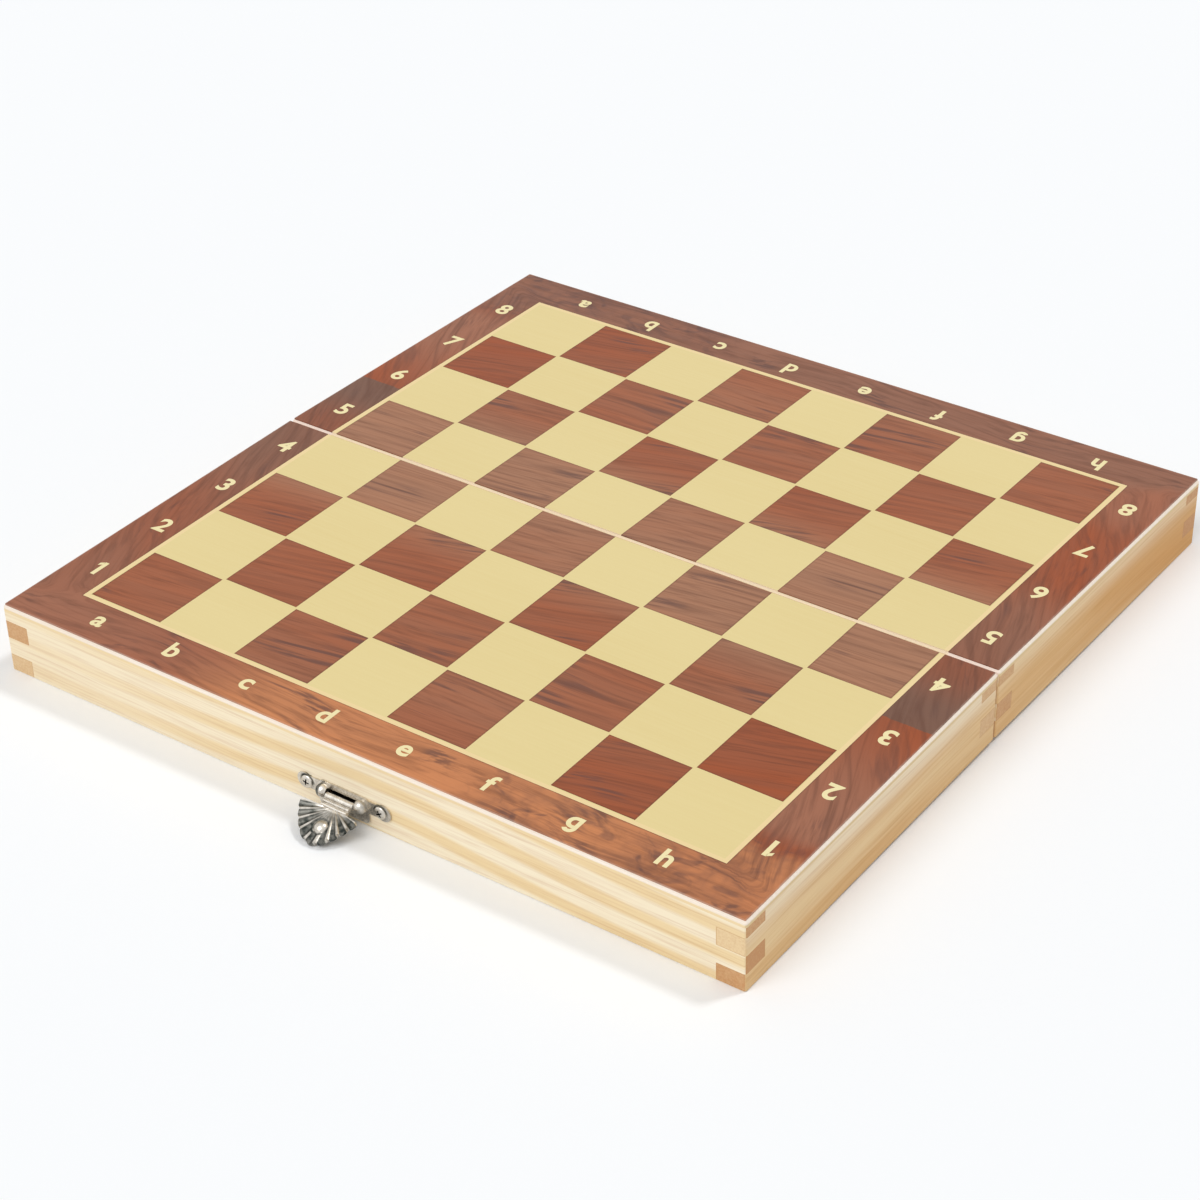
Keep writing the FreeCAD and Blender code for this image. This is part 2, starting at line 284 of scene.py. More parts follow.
def makeStreakGroup():
    group, given, made = newGroup(
        "grainStreaks",
        {"Fineness": 560.0, "Bend": 0.012},
        ["Faint", "Strong"],
    )
    bends = noise(stretched(given["Vector"], streakShape["bends"]), detail=1.0)
    bent = drifted(given["Vector"], bends["Color"], given["Bend"])
    sizes = lengthwise(streakShape["along"], given["Fineness"])
    fine = noise(vectorCalc("MULTIPLY", bent, sizes), detail=3.0, roughness=0.55)[0]
    inCrowds = stretched(bent, streakShape["crowds"], location=streakShape["crowdStart"])
    crowds = spread(noise(inCrowds)[0], *streakShape["crowdSpan"])
    strong = times(spread(fine, *streakShape["strongSpan"]), crowds)
    link(spread(fine, *streakShape["faintSpan"]), made["Faint"])
    link(strong, made["Strong"])
    return group


# Dark veins that run with the grain and swirl where the wood is figured
veinShape = {"swirls": (26, 34, 34)}


def makeVeinGroup():
    group, given, made = newGroup(
        "darkVeins",
        {"Along": 14.0, "Across": 90.0, "Swirl": 0.01, "Sharpness": 6.0},
        ["Veins", "Clouds"],
    )
    swirl = noise(stretched(given["Vector"], veinShape["swirls"]), detail=3.0)
    bent = drifted(given["Vector"], swirl["Color"], given["Swirl"])
    sizes = lengthwise(given["Along"], given["Across"])
    lines = noise(vectorCalc("MULTIPLY", bent, sizes))[0]
    offLine = times(apart(lines, 0.5), given["Sharpness"])
    link(minus(1.0, offLine, clamp=True), made["Veins"])
    link(swirl[0], made["Clouds"])
    return group


# Dull patches and fine scuffs on metal
tarnishShape = {
    "patchSpan": (0.38, 0.66),
    "scuffFineness": 9.0,
    "scuffSpan": (0.3, 0.7),
    "relief": 0.00001,
}


def makeTarnishGroup():
    group, given, made = newGroup(
        "tarnish",
        {"Scale": 300.0},
        ["Patches", "Scuffs"],
    )
    patches = noise(given["Vector"], given["Scale"], detail=4.0, roughness=0.6)[0]
    fine = times(given["Scale"], tarnishShape["scuffFineness"])
    scuffs = noise(given["Vector"], fine)[0]
    link(spread(patches, *tarnishShape["patchSpan"]), made["Patches"])
    link(scuffs, made["Scuffs"])
    return group


grainGroup = makeGrainGroup()
streakGroup = makeStreakGroup()
veinGroup = makeVeinGroup()
tarnishGroup = makeTarnishGroup()
print("node groups ready")


def addHairs(grain, colour, hair, span):
    return blend(spread(grain["Fibres"], *span), colour, hair)


def finishWood(shader, colour, grain, look):
    roughness = spread(grain["Fibres"], *grainShape["fibreSpan"], *look["roughness"])
    finishSurface(shader, colour, roughness, grain["Fibres"], look["relief"])


# Clasp sizes that the materials and the screws share, in the level frame of the front half
clasp = {
    "across": 0.0009,
    "screwHeight": 0.0081,
    "screwSpacing": 0.029,
    "windowHalf": 0.0057,
    "windowLow": 0.0058,
    "windowHigh": 0.0088,
    "mortiseDepth": 0.0035,
    "mortiseSlack": 0.0002,
    "mortiseSkin": 0.00005,
    "earOut": 0.0075,
    "plate": 0.0006,
}

# Pale softwood of the rails
pine = {
    "pale": paint(251, 238, 210),
    "yellow": paint(240, 213, 162),
    "honey": paint(212, 156, 86),
    "hair": paint(190, 132, 70),
    "endPale": paint(236, 208, 163),
    "endBrown": paint(200, 146, 96),
    # painted shade for the pocket behind the clasp's window
    "pocketShade": paint(26, 20, 16),
    "grain": {"Fibre Scale": 1100.0, "Wander": 0.006},
    "bandWidth": 0.0095,
    "bandBends": (4, 9, 9),
    "bandBend": 2.4,
    "bandLean": 0.35,
    "seedReach": 9,  # how far the seed moves the bends
    "seedTurns": 5,  # how far it moves the bands
    "ringSpan": (-0.7, 1.0),
    "yellowest": 0.85,
    "calmSpan": (0.02, 0.12),
    "calmYellow": 0.2,
    "patchSpan": (0.0, 0.9),
    "even": 0.35,
    "topSpan": (0.013, 0.0225),
    "mottleSpan": (0.45, 0.7, 0.0, 0.3),
    "hairSpan": (0.4, 0.75, 0.0, 0.3),
    "poreScale": 1500.0,
    "pores": 0.7,
    "jointSpan": (0.45, 0.49, 0.0, 0.5),
    "jointEdge": (0.0004, 0.0001),
    "jointDepth": 0.5,
    "endTurn": 0.75,  # a face turned this far from the grain shows end grain
    "fingerHeight": 0.0066,
    "thickness": 0.01,
    "specular": 0.22,
    "roughness": (0.42, 0.56),
    "relief": 0.00006,
}
# ends: how brown the end grain is, on the lower and the upper finger. calm: plain towards +x.
# paleTop: pale along the top. mellow and even: the least of the yellow and of the honey tint.
rails = {
    "clasp_rail": {"along": "x", "seed": 0.31, "warmth": 0.06, "ends": (1.0, 0.85), "calm": 0.7},
    "front_hinge_rail": {"along": "x", "seed": 1.77, "warmth": 0.35, "ends": (0.5, 0.6)},
    "front_left_rail": {"along": "y", "seed": 2.93, "warmth": 0.3, "ends": (0.3, 0.75)},
    "front_right_rail": {
        "along": "y", "seed": 4.21, "warmth": 0.72, "ends": (0.85, 0.1),
        "paleTop": 0.75, "mellow": 0.8,
    },
    "catch_rail": {"along": "x", "seed": 5.05, "warmth": 0.25, "ends": (1.0, 0.9)},
    "rear_hinge_rail": {"along": "x", "seed": 6.67, "warmth": 0.4, "ends": (0.85, 0.7)},
    "rear_left_rail": {"along": "y", "seed": 7.39, "warmth": 0.35, "ends": (0.4, 0.8)},
    "rear_right_rail": {
        "along": "y", "seed": 8.83, "warmth": 0.95, "ends": (0.8, 0.5),
        "paleTop": 0.3, "mellow": 0.8, "even": 0.6,
    },
}


def claspMortise(place):  # painted shade inside the pocket behind the clasp's window
    slack = clasp["mortiseSlack"]
    masks = [
        below(apart(place["X"], clasp["across"]), clasp["windowHalf"] + slack),
        below(place["Y"], board["half"] - clasp["mortiseSkin"]),
        above(place["Y"], board["half"] - clasp["mortiseDepth"]),
        above(place["Z"], clasp["windowLow"] - slack),
        below(place["Z"], clasp["windowHigh"] + slack),
    ]
    inside = masks[0]
    for mask in masks[1:]:
        inside = times(inside, mask)
    return inside


def pineSides(rail, turned, place, grain):  # the faces along the grain
    start = (rail["seed"] * pine["seedReach"], rail["seed"], 0)
    bends = noise(stretched(turned, pine["bandBends"], location=start))[0]
    across = timesPlus(place["Y"], pine["bandLean"], place["Z"])
    bands = calc("DIVIDE", across, pine["bandWidth"])
    phase = timesPlus(bends, pine["bandBend"], bands)
    turns = timesPlus(phase, math.tau, rail["seed"] * pine["seedTurns"])
    rings = spread(calc("SINE", turns), *pine["ringSpan"])
    yellowing = spread(rings, 0.0, 1.0, rail.get("mellow", 0.0), pine["yellowest"])
    calm = spread(place["X"], *pine["calmSpan"], 0.0, rail.get("calm", 0.0))
    yellowing = blendValues(calm, yellowing, pine["calmYellow"])
    banded = blend(yellowing, pine["pale"], pine["yellow"])
    even = rail.get("even", pine["even"])
    patchy = spread(grain["Bands"], *pine["patchSpan"], even, 1.0)
    warmed = blend(times(patchy, rail["warmth"]), banded, pine["honey"])
    topAmount = spread(place["Z"], *pine["topSpan"], 0.0, rail.get("paleTop", 0.0))
    topped = blend(topAmount, warmed, pine["pale"])
    mottling = spread(grain["Blush"], *pine["mottleSpan"])
    mottled = blend(mottling, topped, pine["yellow"])
    return addHairs(grain, mottled, pine["hair"], pine["hairSpan"])


def pineEnds(node, rail, coords, place):  # end grain on the fingers, each with its own tone
    upper = above(place["Z"], 2 * pine["fingerHeight"])
    tone = blendValues(upper, *rail["ends"])
    pores = minus(noise(coords, pine["poreScale"])[0], 0.5)
    speckled = timesPlus(pores, pine["pores"], tone, clamp=True)
    cut = blend(speckled, pine["endPale"], pine["endBrown"])
    level = calc("FRACT", calc("DIVIDE", place["Z"], pine["fingerHeight"]))
    joint = spread(apart(level, 0.5), *pine["jointSpan"])
    if "hinge" not in node:
        inner = board["half"] - pine["thickness"]
        near, far = pine["jointEdge"]
        edge = spread(unsigned(place["Y"]), inner + near, inner + far, 0.0, pine["jointDepth"])
        joint = larger(joint, edge)
    return blend(joint, cut, pine["hair"])


def makePine(node, rail):
    material, shader = newMaterial("pine_" + node, pine["specular"])
    coords = levelCoords("front" if node.startswith(("front", "clasp")) else "rear")
    turned = coords
    if rail["along"] == "y":
        turned = stretched(coords, (1, 1, 1), rotation=(0, 0, math.pi / 2))
    place = split(turned)
    grain = useGroup(grainGroup, turned, {"Seed": rail["seed"], **pine["grain"]})
    sides = pineSides(rail, turned, place, grain)
    ends = pineEnds(node, rail, coords, place)
    onEnd = above(unsigned(facing()[rail["along"].upper()]), pine["endTurn"])
    colour = blend(onEnd, sides, ends)
    # painted shade darkens the pocket behind the clasp's window
    if node == "clasp_rail":
        colour = blend(claspMortise(place), colour, pine["pocketShade"])
    finishWood(shader, colour, grain, pine)
    return material


# Thin board under the playing surface: a white lip along its upper edge, creamy below the lip
panel = {
    "face": paint(246, 228, 196),
    "shade": paint(226, 198, 160),
    "lip": paint(252, 240, 226),
    "lipHeight": 0.0015,
    "lipBlur": 0.0003,
    "longEdge": paint(243, 219, 172),
    "sideEdge": paint(228, 202, 152),
    "seamEdge": paint(247, 229, 216),
    "seamField": paint(245, 226, 196),
    "seamReach": 0.004,
    "edgeTurn": 0.9,
    "sideTurn": 0.5,
    "seeds": {"front": 0.4, "rear": 1.9},
    "grain": {"Band Scale": 60.0, "Wander": 0.012},
    "hairSpan": (0.4, 0.75, 0.0, 0.35),
    "edgeHairSpan": (0.3, 0.8, 0.0, 0.3),
    "specular": 0.2,
    "roughness": (0.5, 0.65),
    "relief": 0.00005,
}


def makePanel(side, seed):
    material, shader = newMaterial("panelBoard_" + side, panel["specular"])
    coords = levelCoords(side)
    place = split(coords)
    grain = useGroup(grainGroup, coords, {"Seed": seed, **panel["grain"]})
    face = blend(grain["Bands"], panel["face"], panel["shade"])
    face = addHairs(grain, face, pine["hair"], panel["hairSpan"])
    normal = facing()
    onEdge = below(unsigned(normal["Z"]), panel["edgeTurn"])
    onSide = above(unsigned(normal["X"]), panel["sideTurn"])
    edge = blend(onSide, panel["longEdge"], panel["sideEdge"])
    lipStart = board["boxHeight"] - panel["lipHeight"]
    blur = panel["lipBlur"]
    lip = spread(place["Z"], lipStart - blur, lipStart + blur)
    edge = blend(lip, edge, panel["lip"])
    edge = addHairs(grain, edge, panel["shade"], panel["edgeHairSpan"])
    inField = below(unsigned(place["X"]), board["half"] - board["borderWidth"])
    seam = blend(inField, panel["seamEdge"], panel["seamField"])
    bySeam = below(place["Y"], panel["seamReach"])
    edge = blend(minus(bySeam, onSide, clamp=True), edge, seam)
    finishWood(shader, blend(onEdge, face, edge), grain, panel)
    return material


# Cream squares and the line round the field
cream = {
    "cream": paint(231, 213, 155),
    "straw": paint(224, 203, 142),
    "margin": paint(240, 214, 162),
    "marginAmount": 0.8,
    "field": 4 * board["pitch"],
    "grain": {"Seed": 3.3, "Band Scale": 90.0, "Fibre Scale": 1300.0},
    "fibreTone": (0.35, 1.0),
    "edgeTurn": 0.5,
    "specular": 0.15,
    "roughness": (0.36, 0.46),
    "relief": 0.00002,
}


def makeCream(side):
    material, shader = newMaterial("creamFilm_" + side, cream["specular"])
    coords = levelCoords(side)
    grain = useGroup(grainGroup, coords, cream["grain"])
    fibres = spread(grain["Fibres"], *grainShape["fibreSpan"], *cream["fibreTone"])
    tone = times(grain["Blush"], fibres)
    squares = blend(tone, cream["cream"], cream["straw"])
    inMargin = above(fromMiddle(split(coords)), cream["field"])
    margin = times(inMargin, cream["marginAmount"])
    lined = blend(margin, squares, cream["margin"])
    onEdge = below(unsigned(facing()["Z"]), cream["edgeTurn"])
    colour = blend(onEdge, lined, panel["seamField"])
    finishWood(shader, colour, grain, cream)
    return material


# Rosewood-brown film of the dark squares and the border
rose = {
    "tan": paint(172, 123, 95),
    "brown": paint(164, 110, 86),
    "red": paint(160, 84, 52),
    "orange": paint(206, 135, 90),
    "grey": paint(116, 91, 78),
    "violet": paint(94, 69, 66),
    "line": paint(92, 57, 44),
    "worn": paint(214, 186, 170),
    "bandGrey": 0.16,
    "hairSpan": (0.45, 0.75, 0.0, 0.3),
    "specular": 0.1,
    "roughness": (0.36, 0.5),
    "relief": 0.00002,
}
square = {
    "turn": (0.0, 0.36),  # slant of the grain, in radians
    "jump": 3.0,  # each square is cut from another place
    "redSpan": (0.022, 0.05, 0.05, 0.75),  # from the fold outwards the squares are redder
    "patchy": 0.9,
    "chance": 0.5,
    "grain": {"Band Scale": 160.0, "Fibre Scale": 1300.0, "Wander": 0.008},
    "faint": 0.36,
    "strong": 0.62,
    "rimSpan": (0.466, 0.484, 0.0, 0.42),
}


def roseBands(grain, ground):
    greying = spread(grain["Bands"], 0.0, 1.0, 0.0, rose["bandGrey"])
    return blend(greying, ground, rose["grey"])


def roseHairs(grain, colour):
    return addHairs(grain, colour, rose["line"], rose["hairSpan"])


def roseStreaks(ground, faint, strong):
    fibred = blend(faint, ground, rose["line"])
    return blend(strong, fibred, rose["violet"])


def makeDarkSquares(side):
    material, shader = newMaterial("rosewoodSquares_" + side, rose["specular"])
    coords = levelCoords(side)
    inSquares = stretched(coords, (1 / board["pitch"], 1 / board["pitch"], 0))
    cells = vectorCalc("FLOOR", inSquares)
    chance = put("TexWhiteNoise", {"Vector": cells}, noise_dimensions="3D").outputs
    low, high = square["turn"]
    slant = timesPlus(chance["Value"], low - high, -low)
    turn = {"Vector": coords, "Angle": slant}
    slanted = put("VectorRotate", turn, rotation_type="Z_AXIS").outputs[0]
    sawn = vectorCalc("ADD", slanted, scaled(chance["Color"], square["jump"]))
    grain = useGroup(grainGroup, sawn, square["grain"])
    outwards = spread(split(coords)["Y"], *square["redSpan"])
    uneven = timesPlus(minus(grain["Blush"], 0.5), square["patchy"], outwards)
    redness = timesPlus(minus(chance["Value"], 0.5), square["chance"], uneven, clamp=True)
    ground = blend(redness, rose["tan"], rose["red"])
    streaks = useGroup(streakGroup, sawn)
    faint = times(streaks["Faint"], square["faint"])
    strong = times(streaks["Strong"], square["strong"])
    streaked = roseStreaks(roseBands(grain, ground), faint, strong)
    inCell = vectorCalc("SUBTRACT", vectorCalc("FRACTION", inSquares), (0.5, 0.5, 0.5))
    offMiddle = split(vectorCalc("ABSOLUTE", inCell))
    toEdge = larger(offMiddle["X"], offMiddle["Y"])
    rim = spread(toEdge, *square["rimSpan"])
    colour = blend(rim, roseHairs(grain, streaked), rose["line"])
    finishWood(shader, colour, grain, rose)
    return material


# The border is one printed sheet per half, pieced from strips. The side strips are sawn aslant.
border = {
    "inner": board["half"] - board["borderWidth"],
    "middle": board["half"] - board["borderWidth"] / 2,
    "outer": 0.1447,
    "wear": 0.0009,
    "wornSpan": (0.3, 0.7, 0.1, 0.6),
    "slant": math.radians(110),
    "mitre": 0.5,  # slant of the soft joint between a side strip and the end strip
    "mitreBlur": (0.008, 0.004),
    "rags": (260, 40, 1),  # the joints between the strips are a little ragged
    "redRags": 0.009,
    "darkRags": 0.002,
    "mitreRags": 0.006,
    "grain": {"Seed": 0.7, "Band Scale": 130.0, "Wander": 0.02},
    "blush": 0.7,
    "blushMiddle": 0.35,
    "redSpan": (0.0, 0.55),
    "glowSpan": (0.45, 0.85),
    "endRed": 0.4,
    "plainEnd": 0.6,
    "streaks": {"Fineness": 430.0, "Bend": 0.024},
    "calm": 0.35,  # streaks where the strips meet
    "faint": 0.4,
    "strong": (0.35, 0.6),  # on a side strip and on the end strip
    "knots": (75, 110, 1),
    "knotSpan": (0.53, 0.68),
    "knotDepth": 0.45,
    "veins": {"Along": 110.0, "Across": 150.0, "Swirl": 0.02},
    "swirlSpan": (0.4, 0.6, 0.08, 0.36),
    "edgeLine": 0.0005,
    "edgeDepth": 0.6,
    "dull": {"front": 0.6, "rear": 1.0},  # browner: the front's left strip, the rear's end strip
    "dullGrey": 0.32,
    "dullRed": 0.2,
}
# Spans in metres: along the first side strip, the second one, and the end strip
strips = {
    "pastDark": (0.0398, 0.0402),
    "pastRed": (0.101, 0.119),
    "fading": (0.039, 0.093, 0.45, 0.1),
    "greying": (0.004, 0.03, 0.4, 0.85),
    "cornerRed": 0.78,
    "pastGrey": 0.85,
    "rising": (0.03, 0.07, 0.2, 0.6),
    "paling": (0.08, 0.11, 0.0, 0.4),
    "greyByFold": (0.01, 0.06, 0.4, 0.0),
    "toMiddle": (0.135, -0.01, 0.2, 1.0),
    "toCorner": (-0.06, -0.125, 0.0, 0.25),
    "figured": (-0.03, -0.06),
}


def borderTone(place, ragged):  # redness, greyness and figure of the sheet
    x, y = place["X"], place["Y"]
    rough = timesPlus(ragged, border["redRags"], y)
    crisp = timesPlus(ragged, border["darkRags"], y)
    pastDark = spread(crisp, *strips["pastDark"])
    pastRed = spread(rough, *strips["pastRed"])
    fading = spread(y, *strips["fading"])
    rednessOne = blendValues(pastRed, fading, strips["cornerRed"])
    greying = spread(y, *strips["greying"])
    lost = times(pastDark, strips["pastGrey"])
    greyOne = minus(greying, lost, clamp=True)
    rising = spread(y, *strips["rising"])
    rednessTwo = minus(rising, spread(y, *strips["paling"]))
    greyTwo = spread(y, *strips["greyByFold"])
    firstStrip = below(x, 0.0)
    rednessSide = blendValues(firstStrip, rednessTwo, rednessOne)
    greySide = blendValues(firstStrip, greyTwo, greyOne)
    toMiddle = spread(x, *strips["toMiddle"])
    rednessEnd = minus(toMiddle, spread(x, *strips["toCorner"]))
    past = timesPlus(unsigned(x), -border["mitre"], y)
    bent = timesPlus(ragged, border["mitreRags"], past)
    meet = border["inner"] * (1 - border["mitre"])
    before, after = border["mitreBlur"]
    onEnd = spread(bent, meet - before, meet + after)
    redness = blendValues(onEnd, rednessSide, rednessEnd)
    greyness = times(greySide, minus(1.0, onEnd))
    figuredSide = times(firstStrip, pastRed)
    figuredEnd = spread(x, *strips["figured"])
    return redness, greyness, blendValues(onEnd, figuredSide, figuredEnd), onEnd


def borderSawn(coords, place, onEnd):  # the grain's own coordinates
    across = times(calc("SIGN", place["X"]), border["middle"])
    corner = put("CombineXYZ", {0: across, 1: border["inner"]}).outputs[0]
    turn = {"Vector": coords, "Center": corner, "Angle": -border["slant"]}
    aslant = put("VectorRotate", turn, rotation_type="Z_AXIS").outputs[0]
    return put("Mix", {0: onEnd, 4: aslant, 5: coords}, data_type="VECTOR").outputs[1]


def borderGround(grain, redness, greyness, figured, onEnd):
    lessRed = minus(redness, border["blushMiddle"])
    mixed = timesPlus(grain["Blush"], border["blush"], lessRed, clamp=True)
    lively = times(figured, border["plainEnd"])
    plainEnd = minus(onEnd, lively, clamp=True)
    share = spread(plainEnd, 0.0, 1.0, 1.0, border["endRed"])
    reddened = times(spread(mixed, *border["redSpan"]), share)
    low = blend(reddened, rose["brown"], rose["red"])
    glowing = larger(onEnd, figured)
    glow = times(spread(mixed, *border["glowSpan"]), glowing)
    ground = blend(glow, low, rose["orange"])
    return roseBands(grain, blend(greyness, ground, rose["grey"]))


def borderStreaks(sawn, ground, onEnd):
    streaks = useGroup(streakGroup, sawn, border["streaks"])
    meeting = times(onEnd, minus(1.0, onEnd))
    calm = spread(meeting, 0.0, 0.25, 1.0, border["calm"])
    faint = times(times(streaks["Faint"], border["faint"]), calm)
    strength = times(spread(onEnd, 0.0, 1.0, *border["strong"]), calm)
    return roseStreaks(ground, faint, times(streaks["Strong"], strength))


def borderFigure(coords, ground, figured):  # knots and swirling veins
    veins = useGroup(veinGroup, coords, border["veins"])
    inKnots = stretched(coords, border["knots"])
    lumps = noise(inKnots, detail=3.0, distortion=1.5)[0]
    knots = spread(lumps, *border["knotSpan"])
    swirls = times(veins["Veins"], spread(veins["Clouds"], *border["swirlSpan"]))
    both = timesPlus(knots, border["knotDepth"], swirls, clamp=True)
    return blend(times(both, figured), ground, rose["violet"])


def borderEdges(grain, place, ground):  # a dark line by the field, wear along the rim
    furthest = fromMiddle(place)
    inner, outer = border["inner"], border["outer"]
    lineEnd = inner + border["edgeLine"]
    byField = spread(furthest, lineEnd, inner, 0.0, border["edgeDepth"])
    edged = blend(byField, ground, rose["line"])
    rim = spread(furthest, outer - border["wear"], outer)
    wear = times(rim, spread(grain["Fibres"], *border["wornSpan"]))
    return blend(wear, edged, rose["worn"])


def makeBorder(side):
    material, shader = newMaterial("rosewoodBorder_" + side, rose["specular"])
    coords = levelCoords(side)
    place = split(coords)
    rags = noise(stretched(coords, border["rags"]), detail=3.0)[0]
    ragged = minus(rags, 0.5)
    redness, greyness, figured, onEnd = borderTone(place, ragged)
    if side == "front":
        onLeft = above(place["X"], 0.0)
        browner = minus(onLeft, onEnd, clamp=True)
    else:
        browner = larger(onEnd, figured)
    dull = times(browner, border["dull"][side])
    redness = blendValues(dull, redness, border["dullRed"])
    greyness = timesPlus(dull, border["dullGrey"], greyness, clamp=True)
    sawn = borderSawn(coords, place, onEnd)
    grain = useGroup(grainGroup, sawn, border["grain"])
    ground = borderGround(grain, redness, greyness, figured, onEnd)
    streaked = borderStreaks(sawn, ground, onEnd)
    veined = borderFigure(coords, streaked, figured)
    colour = borderEdges(grain, place, roseHairs(grain, veined))
    finishWood(shader, colour, grain, rose)
    return material


# Metals: brass hinges, steel pins, and nickel on the clasp and the catch.
# The nickel is rubbed bright where it is proud and dark with patina where it is sunk; on the clasp, painted shade
# and painted dark reflections darken it too.
metals = {
    "brass": {
        "bright": paint(222, 188, 112),
        "dull": paint(134, 98, 48),
        # painted shade for the screws' cross recess
        "recessShade": paint(50, 36, 20),
        "scale": 260.0,
        "wear": 0.6,
        "roughness": (0.22, 0.4),
    },
    "steel": {
        "bright": paint(196, 196, 194),
        "dull": paint(110, 106, 100),
        "scale": 500.0,
        "wear": 0.6,
        "roughness": (0.22, 0.4),
    },
    "nickel": {
        "bright": paint(222, 216, 206),
        "dull": paint(168, 161, 150),
        # painted shade for the screws' cross recess
        "recessShade": paint(34, 30, 28),
        # patina, and the colour of the painted shade on the fan and the plate
        "patinaAndShade": paint(54, 59, 56),
        "darkeningPatches": (0.8, 1.0),
        "darkeningRoughness": 0.2,
        "scale": 420.0,
        "wear": 0.55,
        "roughness": (0.2, 0.36),
    },
}


def startMetal(name, scale):
    material, shader = newMaterial(name)
    shader.inputs["Metallic"].default_value = 1.0
    return material, shader, useGroup(tarnishGroup, objectCoords(), {"Scale": scale})


def wornColour(worn, amount, bright, dull):
    return blend(times(worn["Patches"], amount), bright, dull)


def scuffed(worn, ends):  # roughness
    return spread(worn["Scuffs"], *tarnishShape["scuffSpan"], *ends)


def makeMetal(name, look, shadeOf=None):
    material, shader, worn = startMetal(name, look["scale"])
    colour = wornColour(worn, look["wear"], look["bright"], look["dull"])
    roughness = scuffed(worn, look["roughness"])
    if shadeOf:
        # patina together with painted shade and painted dark reflections where shadeOf says
        patches = spread(worn["Patches"], 0.0, 1.0, *look["darkeningPatches"])
        shade = times(shadeOf(), patches)
        colour = blend(shade, colour, look["patinaAndShade"])
        roughness = timesPlus(shade, look["darkeningRoughness"], roughness)
    finishSurface(shader, colour, roughness, worn["Scuffs"], tarnishShape["relief"])
    return material


# Patina and painted shade in the flutes of the fan, a painted shadow ring round its dome, and darker metal behind
# its neck
fan = {
    "droop": 23.616,
    "apex": 0.0029,
    "sweep": 156.2,
    "flutes": 9,
    "fluteSpan": (0.8, 0.6),
    "deepSpan": (0.0015, 0.0085, 0.5, 1.0),
    "dome": 0.0105,
    "domeSpan": (0.0021, 0.0027),
    "domeShadowSpan": (0.0036, 0.0030),
    "neckSpan": (0.0042, 0.0050),
    "neckDarkSpan": (0.003, 0.009, 0.55, 0.15),
    "reach": 0.0172,
}


def fanToFrame():
    droop = math.radians(fan["droop"])
    out = Vector((0, -math.cos(droop), -math.sin(droop)))
    up = Vector((0, -math.sin(droop), math.cos(droop)))
    axes = Matrix((out.cross(up), out, up)).transposed().to_4x4()
    return Matrix.Translation(joints["clasp_swing"]["pos_m"]) @ axes


def length(a, b):
    return calc("SQRT", timesPlus(a, a, times(b, b)))


def fanShade():
    place = split(coordsIn(fanToFrame()))
    out = minus(place["Y"], fan["apex"])
    turn = calc("ARCTAN2", place["X"], out)
    step = math.radians(fan["sweep"]) / fan["flutes"]
    count = calc("FRACT", timesPlus(turn, 1 / step, 0.5 + fan["flutes"]))
    offMiddle = times(apart(count, 0.5), 2.0)
    flute = spread(offMiddle, *fan["fluteSpan"])
    reach = length(place["X"], out)
    deep = spread(reach, *fan["deepSpan"])
    offDome = length(place["X"], minus(place["Y"], fan["dome"]))
    byDome = spread(offDome, *fan["domeSpan"])
    beyondNeck = spread(place["Y"], *fan["neckSpan"])
    # patina and painted shade in the flutes, darker towards the rim
    shade = times(times(flute, deep), times(byDome, beyondNeck))
    # painted shadow in a ring round the base of the dome
    domeShadow = times(byDome, spread(offDome, *fan["domeShadowSpan"]))
    # darker metal beyond the neck
    neckDarkening = times(beyondNeck, spread(reach, *fan["neckDarkSpan"]))
    return larger(larger(shade, neckDarkening), domeShadow)


# Painted shade on the clasp's plate: painted shadow rings round the screw heads and painted dark reflections on
# the flanks of the ears
plateShading = {
    "ringInner": (0.0019, 0.0022),
    "ringOuter": (0.0031, 0.0025),
    "ringHeight": (-0.0012, 0.001, 0.25, 1.0),
    "flankStart": (-0.0002, 0.0004),
    "flankEnd": (0.0026, 0.0020),
    "flankSides": (-0.002, 0.002, 0.3, 1.0),
    "proud": 0.0005,
}


# painted shadow in a ring round each screw head, stronger above it
def screwRings(place, aside):
    u = apart(aside, clasp["screwSpacing"] / 2)
    v = minus(place["Z"], clasp["screwHeight"])
    off = length(u, v)
    inner = spread(off, *plateShading["ringInner"])
    ring = times(inner, spread(off, *plateShading["ringOuter"]))
    return times(ring, spread(v, *plateShading["ringHeight"]))


def plateShade():
    place = split(levelCoords("front"))
    aside = apart(place["X"], clasp["across"])
    # painted dark reflection on the outer flank of each ear, stronger on the left one
    past = minus(aside, clasp["earOut"])
    start = spread(past, *plateShading["flankStart"])
    flank = times(start, spread(past, *plateShading["flankEnd"]))
    flank = times(flank, spread(place["X"], *plateShading["flankSides"]))
    surface = board["half"] + clasp["plate"]
    proud = spread(place["Y"], surface, surface + plateShading["proud"])
    return larger(times(flank, proud), screwRings(place, aside))


def dress(node, material):
    mesh = frame["nodes"][node].data
    mesh.materials.clear()
    mesh.materials.append(material)


for node, rail in rails.items():
    dress(node, makePine(node, rail))
for side, seed in panel["seeds"].items():
    dress(side + "_panel", makePanel(side, seed))
    dress(side + "_light_film", makeCream(side))
    dress(side + "_dark_squares", makeDarkSquares(side))
    dress(side + "_border_film", makeBorder(side))
metalSlots = {"hinge_brass": "brass", "pin_steel": "steel", "nickel": "nickel"}
plainMetals = {slot: makeMetal(name, metals[name]) for slot, name in metalSlots.items()}
for row in frame["record"]["subparts"]:
    if row["material_slot"] in plainMetals:
        dress(row["node"], plainMetals[row["material_slot"]])
dress("clasp_fan", makeMetal("nickelFan", metals["nickel"], fanShade))
dress("clasp_plate", makeMetal("nickelPlate", metals["nickel"], plateShade))
print("materials on", len(frame["nodes"]), "nodes")


